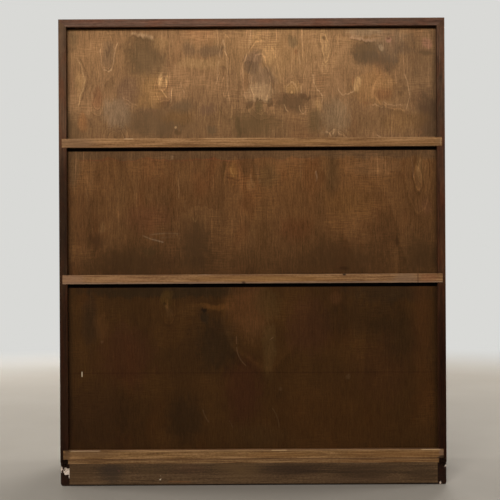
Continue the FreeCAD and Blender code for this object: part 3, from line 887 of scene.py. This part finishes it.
RAIL_MARKS = {
    "upper_shelf": [
        patch(410, 790, 46, 14, (126, 96, 70), 0.6),
        # Painted highlights: the pale lines along the top arris, at 799 and 800 mm, where the light
        # catches the edge.
        line(293, 799, 270, 799, (214, 176, 134), 0.9, 1.8),
        line(112, 799, 4, 799, (196, 156, 110), 0.7, 1.6),
        line(425, 790, 330, 799, (104, 74, 46), 0.4, 2.0),
        line(430, 785, 370, 789, (110, 78, 48), 0.4, 2.0),
        line(350, 783, 250, 782, (166, 122, 88), 0.5),
        line(-160, 797, -436, 796, (98, 66, 38), 0.5, 1.8),
        line(-172, 800, -436, 800, (176, 138, 98), 0.6, 2.2),
        scratch_or_painted_light(-434.5, 782, -434.5, 798, (172, 142, 112), 0.7, 1.6),
        line(-330, 781, -432, 781, (104, 84, 56), 0.6, 3.0),
        patch(-110, 790, 120, 5, (156, 114, 68), 0.4),
        patch(-330, 787, 90, 6, (150, 108, 66), 0.3),
        patch(-431, 790, 6, 12, (124, 92, 60)),
    ],
    "lower_shelf": [
        patch(0, 465.5, 900, 2.6, (136, 112, 92), 0.65, 0.3),
        # Painted highlights: the pale lines along the top arris, at 484 and 485 mm.
        line(438, 484, -436, 484, (146, 112, 84), 0.4),
        patch(424, 476, 34, 12, (142, 108, 84), 0.6),
        patch(-35, 475, 160, 6, (146, 105, 58)),
        patch(300, 474, 70, 5, (148, 108, 74), 0.35),
        line(128, 485, 96, 485, (182, 146, 116)),
        patch(-353, 475, 27, 12, (124, 98, 76), 0.6),
        scratch_or_painted_light(-381, 456, -381, 494, (48, 26, 14), 0.8, 1.8),
        patch(-405, 476, 22, 10, (136, 88, 60), 0.45),
        patch(-213, 486, 5, 4, (30, 18, 8), 0.95),
        patch(21, 466, 4, 3.4, (60, 40, 28), 0.85),
        line(100, 479, -60, 477, (110, 78, 44), 0.5, 1.8),
    ],
    "bottom_board": [
        # Painted highlights: the pale lines along the top arris, at 80 mm, where the lit top of the
        # board turns down.
        scratch_or_painted_light(352, 80, -440, 80, (162, 130, 98), 0.6, 2.0),
        scratch_or_painted_light(427, 80, 350, 80, (178, 150, 120), 0.85, 2.2),
        scratch_or_painted_light(-40, 80, -78, 80, (206, 170, 126), 0.8, 1.8),
        scratch_or_painted_light(-385, 80, -434, 80, (200, 168, 130), 0.85, 1.8),
        line(422, 78, 350, 78, (66, 42, 26), 0.6, 1.8),
        scratch_or_painted_light(600, 60.4, -600, 60.4, (62, 32, 16), 0.8, 2.4),
        patch(380, 73, 60, 7, (106, 78, 52)),
        patch(-330, 70, 110, 7, (118, 80, 42)),
        patch(-60, 70, 90, 5, (126, 88, 48)),
        patch(-433, 72, 6, 10, (118, 92, 76), 0.7),
        patch(-436, 63, 7, 4, (34, 24, 16), 0.8),
        patch(430, 80, 8, 4, (50, 34, 20), 0.7),
        patch(432, 70, 8, 9, (80, 56, 38), 0.6),
    ],
    "base_fillet_rear": [
        scratch_or_painted_light(600, 59.6, -600, 59.6, (62, 32, 16), 0.6, 1.6),
        patch(-300, 54, 120, 4, (122, 84, 48), 0.4),
    ],
}
PLINTH_TONES = ((56, 41, 26), (87, 65, 43), (116, 90, 64))
PLINTH_END = ((0.0, (40, 24, 15)), (0.046, (34, 20, 12)))
PLINTH_MARKS = [
    patch(212, 14, 1.2, 1.5, (236, 220, 196), 0.95),
    patch(212, 22, 0.9, 1.2, (190, 168, 140), 0.4),
    patch(310, 34, 3, 3, (110, 70, 56), 0.6),
    patch(328, 30, 26, 22, (52, 42, 34), 0.6, 0.6),
    patch(404, 26, 36, 24, (82, 60, 38), 0.6),
    patch(232, 34, 30, 14, (82, 62, 40)),
    line(195, 9, 140, 8, (120, 76, 42), 0.6, 3.0),
    line(395, 6, 330, 10, (104, 74, 46), 0.5, 2.0),
    patch(28, 34, 44, 20, (98, 74, 47), 0.6, 0.7),
    patch(70, 44, 28, 7, (96, 72, 46), 0.4),
    patch(-84, 36, 62, 14, (48, 34, 24), 0.55, 0.7),
    patch(150, 38, 40, 10, (84, 58, 40), 0.4),
    patch(-250, 12, 90, 6, (84, 62, 44), 0.4),
    patch(-250, 32, 60, 18, (56, 40, 26)),
    patch(-390, 24, 40, 16, (62, 46, 30)),
    patch(-320, 40, 30, 10, (80, 60, 40), 0.4),
    # Painted shadow: the black line along the foot of the rear face, where the plinth stands on the
    # floor.
    scratch_or_painted_light(600, 0.5, -600, 0.5, (12, 7, 4), 1.0, 5.5),
    line(424, 7, 330, 6, (112, 90, 66), 0.4, 1.8),
]
BARE_TONES = ((150, 112, 72), (176, 138, 94), (200, 165, 120))


def rail_finish(name, face, edge, marks, streaky=1.95, blotchy=0.65):
    """A board seen on its long rear edge: plain stain on the faces, worn and marked at the back."""
    f = Finish(name, rough=0.5, shine=0.12)
    flat = f.stretch(f.place, (1, 0, 1))
    wood = f.use(grain, Vector=f.turned("ZYX"), Stretch=0.3)
    drift = f.noises(f.place, (16, 60, 60), 3.0, 0.6)
    drawn = f.vectors("ADD", flat, f.stretch(f.wander(drift), (0.03, 0, 0.004)))
    places = {"clean": flat, "smooth": drawn, "jagged": drawn}
    blots = f.noise(f.place, (170, 300, 300), 2.0, 0.6)
    value = f.swing(blots, blotchy, f.swing(wood["Streaks"], streaky, wood["Bands"]))
    plain = f.ramp(value, *zip((0.25, 0.5, 0.8), face))
    aged = f.ramp(value, *zip((0.22, 0.5, 0.8), edge))
    back = f.backs()
    colour = f.blend(back, plain, marked(f, aged, marks, places, f.fit(drift[0], 1.2, -0.6)))
    colour = f.scaled(colour, f.fit(wood["Pores"], -0.25, 1.04))
    height = f.fit(wood["Pores"], -0.8, wood["Streaks"])
    gloss = f.fit(back, 0.3, f.swing(wood["Streaks"], 0.3, 0.42))
    return f.done(colour, gloss, height, depth=0.0002)


case_level = board_finish("case_level", "ZYX", CASE_TONES, TOP_EDGE)
lipping_upright = board_finish("lipping_upright", "XYZ", CASE_TONES)
lipping_level = board_finish("lipping_level", "ZYX", CASE_TONES)
plinth_long = rail_finish(
    "plinth_long", PLINTH_TONES, PLINTH_TONES, PLINTH_MARKS, streaky=0.9, blotchy=0.6
)
plinth_deep = board_finish("plinth_deep", "ZXY", PLINTH_TONES, PLINTH_END, rough=0.7, coat=0.0)
bare_wood = board_finish("bare_softwood", "XYZ", BARE_TONES, rough=0.7, coat=0.0, shine=0.3)


def track_plastic():
    """Brown extruded plastic with faint die lines along its length."""
    f = Finish("track_plastic", rough=0.38)
    lines = f.noise(f.place, (2, 900, 900), 2.0, 0.5)
    scuffs = f.noise(f.place, (60, 300, 300), 3.0, 0.6)
    colour = f.ramp(scuffs, (0.3, (58, 42, 32)), (0.75, (78, 58, 45)))
    return f.done(colour, f.fit(scuffs, 0.3, 0.25), lines, depth=0.00006)


def screw_steel():
    """Plain steel with spots of rust."""
    f = Finish("screw_steel", rough=0.45)
    f.shader.inputs["Metallic"].default_value = 1.0
    spots = f.noise(f.place, 700.0, 3.0, 0.6)
    colour = f.ramp(spots, (0.4, (150, 146, 140)), (0.65, (112, 92, 74)))
    return f.done(colour, f.fit(spots, 0.4, 0.25))


def door_glass():
    """Plate glass, faintly green, satin where it is ground, which lets light through to the shelves."""
    f = Finish("door_glass", rough=0.0)
    f.shader.inputs["Transmission Weight"].default_value = 1.0
    f.shader.inputs["IOR"].default_value = 1.5
    smears = f.noise(f.place, (9, 9, 4), 4.0, 0.65, 0.6)
    colour = f.ramp(smears, (0.3, (0.94, 0.98, 0.965, 1)), (0.7, (0.96, 0.99, 0.975, 1)))
    square_on = f.maths("ABSOLUTE", f.dot(f.normal, BACK))
    ground = f.span(square_on, 0.997, 0.99995, 1.0, 0.0)
    colour = f.blend(ground, colour, (0.80, 0.92, 0.86, 1))
    satin = f.times(f.fit(f.noise(f.place, 900.0, 2.0, 0.5), 0.2, 0.28), ground)
    f.done(colour, f.maths("MAXIMUM", f.span(smears, 0.45, 0.8, 0.0, 0.03), satin))
    clear = f.node("BsdfTransparent")
    clear.inputs["Color"].default_value = (0.90, 0.95, 0.93, 1)
    return f.mixed(f.node("LightPath").outputs["Is Shadow Ray"], clear)


finishes = {
    "top_panel": case_level,
    "base_fillet_front": bare_wood,
    "plinth_rear_rail": plinth_long,
    "plinth_front_rail": plinth_long,
    "plinth_corner_blocks": bare_wood,
    "plinth_screws": screw_steel(),
}
for level in ("top", "upper_shelf", "lower_shelf", "bottom"):
    finishes[f"lipping_{level}"] = lipping_level
for board, tones in RAIL_TONES.items():
    finishes[board] = rail_finish(f"{board}_wood", SHELF_FACE, tones, RAIL_MARKS[board])
for side in SIDES:
    upright = board_finish(f"case_upright_{side}", "XYZ", CASE_TONES, SIDE_EDGE[side])
    finishes[f"side_panel_{side}"] = upright
    finishes[f"lipping_side_{side}"] = lipping_upright
    finishes[f"plinth_side_{side}"] = plinth_deep
    finishes[f"mitre_tongue_{side}"] = bare_wood
plastic = track_plastic()
glass = door_glass()
for tier in TIERS:
    finishes[f"back_panel_{tier}"] = ply[tier]
    for end in ("top", "bottom"):
        finishes[f"track_{end}_{tier}"] = plastic
    for side in SIDES:
        finishes[f"glass_door_{tier}_{side}"] = glass
for name, material in finishes.items():
    for place in parts[name].material_slots:
        place.material = material


# Damage at the foot of the case


def torn_wood():
    """Pale fibres where a corner broke away, with dark dirt in the hollows."""
    f = Finish("torn_wood", rough=0.85, shine=0.1)
    splinters = f.noise(f.place, (900, 900, 240), 3.0, 0.65)
    hollows = f.noise(f.place, (210, 210, 160), 2.0, 0.5)
    pale = f.ramp(splinters, (0.35, (190, 168, 150)), (0.65, (236, 222, 208)))
    colour = f.blend(f.span(hollows, 0.56, 0.62), pale, tone(46, 30, 20))
    return f.done(colour, height=splinters, depth=0.0006)


def dirty_break():
    """An old break that has gone as dark as the stain."""
    f = Finish("dirty_break", rough=0.9, shine=0.05)
    crumbs = f.noise(f.place, 420.0, 3.0, 0.65)
    colour = f.ramp(crumbs, (0.35, (18, 10, 6)), (0.7, (40, 26, 17)))
    return f.done(colour, height=crumbs, depth=0.0008)


def mesh_of(made, name):
    """The mesh of what was modelled, which is then let go."""
    mesh = bpy.data.meshes.new(name)
    made.to_mesh(mesh)
    made.free()
    return mesh


def placed(name, data):
    """A new object in the scene."""
    made = bpy.data.objects.new(name, data)
    bpy.context.collection.objects.link(made)
    return made


def rough_lump(centre, size, seed, surface):
    """A craggy lump, in millimetres, that bites a piece of wood away."""
    made = bmesh.new()
    bmesh.ops.create_icosphere(made, subdivisions=4, radius=1.0)
    for point in made.verts:
        crag = noise.noise(point.co * 2.3 + Vector((seed, 0, 0)))
        fine = noise.noise(point.co * 6.1 + Vector((0, seed, 0)))
        grown = point.co * (1.0 + 0.28 * crag + 0.12 * fine)
        point.co = Vector([(c + g * s) * MM for c, g, s in zip(centre, grown, size)])
    mesh = mesh_of(made, "lump")
    mesh.materials.append(surface)
    return placed("lump", mesh)


# Corners nearer to each other than this, in metres, are made one
WELD = 1e-5


def welded(mesh):
    """A mesh to work on, whose corners that lie on each other are made one."""
    made = bmesh.new()
    made.from_mesh(mesh)
    bmesh.ops.remove_doubles(made, verts=made.verts, dist=WELD)
    return made


def worn_piece(name, node, bites):
    """A copy of a board with bites out of it, which stands for the plain board."""
    plain = welded(parts[node].data)
    for face in plain.faces:
        face.smooth = False
    whole = mesh_of(plain, f"{name}_whole")
    whole.materials.append(finishes[node])
    piece = placed(name, whole)
    lumps = [rough_lump(*bite) for bite in bites]
    for lump in lumps:
        cutter = piece.modifiers.new("bite", "BOOLEAN")
        cutter.operation = "DIFFERENCE"
        cutter.solver = "EXACT"
        cutter.material_mode = "TRANSFER"
        cutter.object = lump
    ready = piece.evaluated_get(bpy.context.evaluated_depsgraph_get())
    mesh = bpy.data.meshes.new_from_object(ready)
    piece.modifiers.clear()
    cleaned = welded(mesh)
    bmesh.ops.dissolve_degenerate(cleaned, edges=cleaned.edges, dist=WELD)
    cleaned.to_mesh(mesh)
    cleaned.free()
    piece.data = mesh
    for lump in lumps:
        bpy.data.objects.remove(lump)
    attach(piece, "case")
    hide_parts(node)


pale_break = torn_wood()
dark_break = dirty_break()
SIDE_BITES_RIGHT = [
    ((446.5, 152, 50), (4, 8, 5), 1.3, dark_break),
    ((433, 153, 54), (7, 6, 7), 4.1, dark_break),
    ((440, 152, 58), (3, 4, 3), 2.2, dark_break),
]
PLINTH_BITES_RIGHT = [
    ((434, 152, 48), (6, 6, 6), 7.7, dark_break),
    ((444, 152, 39), (5, 8, 8), 3.4, pale_break),
    ((430, 151.5, 34), (10, 5, 9), 9.2, pale_break),
    ((424.5, 151, 22), (1.6, 3, 5), 6.1, pale_break),
    ((446, 151, -1), (6, 10, 6), 5.6, dark_break),
]
SIDE_BITES_LEFT = [
    ((-437, 153, 55), (8, 6, 8), 2.9, dark_break),
    ((-430, 152, 52), (4, 4, 4), 6.3, dark_break),
]
PLINTH_BITES_LEFT = [
    ((-436, 152, 47), (9, 6, 6), 8.4, dark_break),
    ((-443, 151, 42), (3.0, 3, 3.2), 1.9, pale_break),
    ((-430, 151, 4), (2.4, 3, 3.4), 3.8, pale_break),
    ((-446, 152, -1), (5, 8, 5), 4.6, dark_break),
]
worn_piece("worn_side_right", "side_panel_right", SIDE_BITES_RIGHT)
worn_piece("worn_plinth_side_right", "plinth_side_right", PLINTH_BITES_RIGHT)
worn_piece("worn_side_left", "side_panel_left", SIDE_BITES_LEFT)
worn_piece("worn_plinth_side_left", "plinth_side_left", PLINTH_BITES_LEFT)


# The studio


def studio_floor():
    """A pale floor that sweeps up into a round wall, so every view has a plain ground."""
    flat, sweep, wall = 3.3, 0.9, 3.2
    flat_steps, sweep_steps, sides = 6, 12, 96
    profile = [(flat * i / flat_steps, 0.0) for i in range(1, flat_steps + 1)]
    for i in range(1, sweep_steps + 1):
        turn = math.radians(90 * i / sweep_steps)
        profile.append((flat + sweep * math.sin(turn), sweep * (1 - math.cos(turn))))
    profile.append((flat + sweep, wall))
    made = bmesh.new()
    centre = made.verts.new((0, 0, 0))
    rings = []
    for radius, height in profile:
        ring = []
        for i in range(sides):
            turn = 2 * math.pi * i / sides
            ring.append(made.verts.new((radius * math.cos(turn), radius * math.sin(turn), height)))
        rings.append(ring)
    for i in range(sides):
        j = (i + 1) % sides
        made.faces.new((centre, rings[0][i], rings[0][j]))
        for low, high in zip(rings, rings[1:]):
            made.faces.new((low[i], high[i], high[j], low[j]))
    mesh = mesh_of(made, "studio_floor")
    for face in mesh.polygons:
        face.use_smooth = True
    mesh.materials.append(studio_paint(2.0, flat))
    floor = placed("studio_floor", mesh)


def studio_paint(near, far):
    """Pale grey paint near the object, going over to an even white that lights nothing."""
    f = Finish("studio_paint", rough=0.8, shine=0.1)
    radius = f.vectors("LENGTH", f.stretch(f.place, (1, 1, 0)))
    mottle = f.noise(f.place, 2.2, 3.0, 0.5)
    f.done(f.ramp(mottle, (0.3, (142, 136, 127)), (0.7, (148, 142, 133))))
    white = f.node("Emission")
    white.inputs["Color"].default_value = tone(217, 217, 214)
    seen = f.node("LightPath").outputs["Is Camera Ray"]
    return f.mixed(f.times(f.span(radius, near, far), seen), white)


def softbox(name, place, size, power, mirrored=True):
    """A warm white lamp that is aimed at the middle of the case, and shows in the glass if mirrored."""
    middle = Vector((0, 0, 0.55))
    light = bpy.data.lights.new(name, "AREA")
    light.shape = "RECTANGLE"
    light.size, light.size_y = size
    light.energy = power
    light.color = (1.0, 0.985, 0.96)
    holder = placed(name, light)
    holder.location = place
    holder.rotation_euler = (middle - Vector(place)).to_track_quat("-Z", "Y").to_euler()
    holder.visible_camera = False
    holder.visible_glossy = mirrored
    holder.visible_transmission = mirrored


def studio_light():
    """Faint light from all round, and five lamps."""
    world = bpy.data.worlds.new("studio_air")
    bpy.context.scene.world = world
    world.use_nodes = True
    air = world.node_tree.nodes["Background"]
    air.inputs["Color"].default_value = (1.0, 0.99, 0.975, 1)
    air.inputs["Strength"].default_value = 0.14
    softbox("key_behind", (0.9, 4.0, 3.1), (1.5, 0.8), 215)
    softbox("key_doors", (-1.1, -3.4, 2.4), (2.0, 1.4), 120)
    softbox("fill_doors", (1.6, -3.2, 0.9), (1.4, 1.4), 60, mirrored=False)
    softbox("side_right", (3.4, -0.6, 2.0), (1.2, 1.4), 60)
    softbox("side_left", (-3.4, -0.6, 2.0), (1.2, 1.4), 60)


def camera():
    """Square to the back of the case and level with the middle of it."""
    distance, aside, height = 2.30, 0.0056, 0.538
    focal_pixels, frame_pixels, shift_pixels = 998.5, 500, 1.5
    roll = math.radians(0.294)
    data = bpy.data.cameras.new("camera")
    data.sensor_width = 36.0
    data.lens = data.sensor_width * focal_pixels / frame_pixels
    data.shift_y = shift_pixels / frame_pixels
    holder = placed("camera", data)
    holder.location = (aside, back_y + distance, height)
    holder.rotation_euler = Euler((math.radians(90), roll, math.radians(180)), "XYZ")
    bpy.context.scene.camera = holder


studio_floor()
studio_light()
camera()
bpy.context.scene.view_settings.view_transform = "Standard"
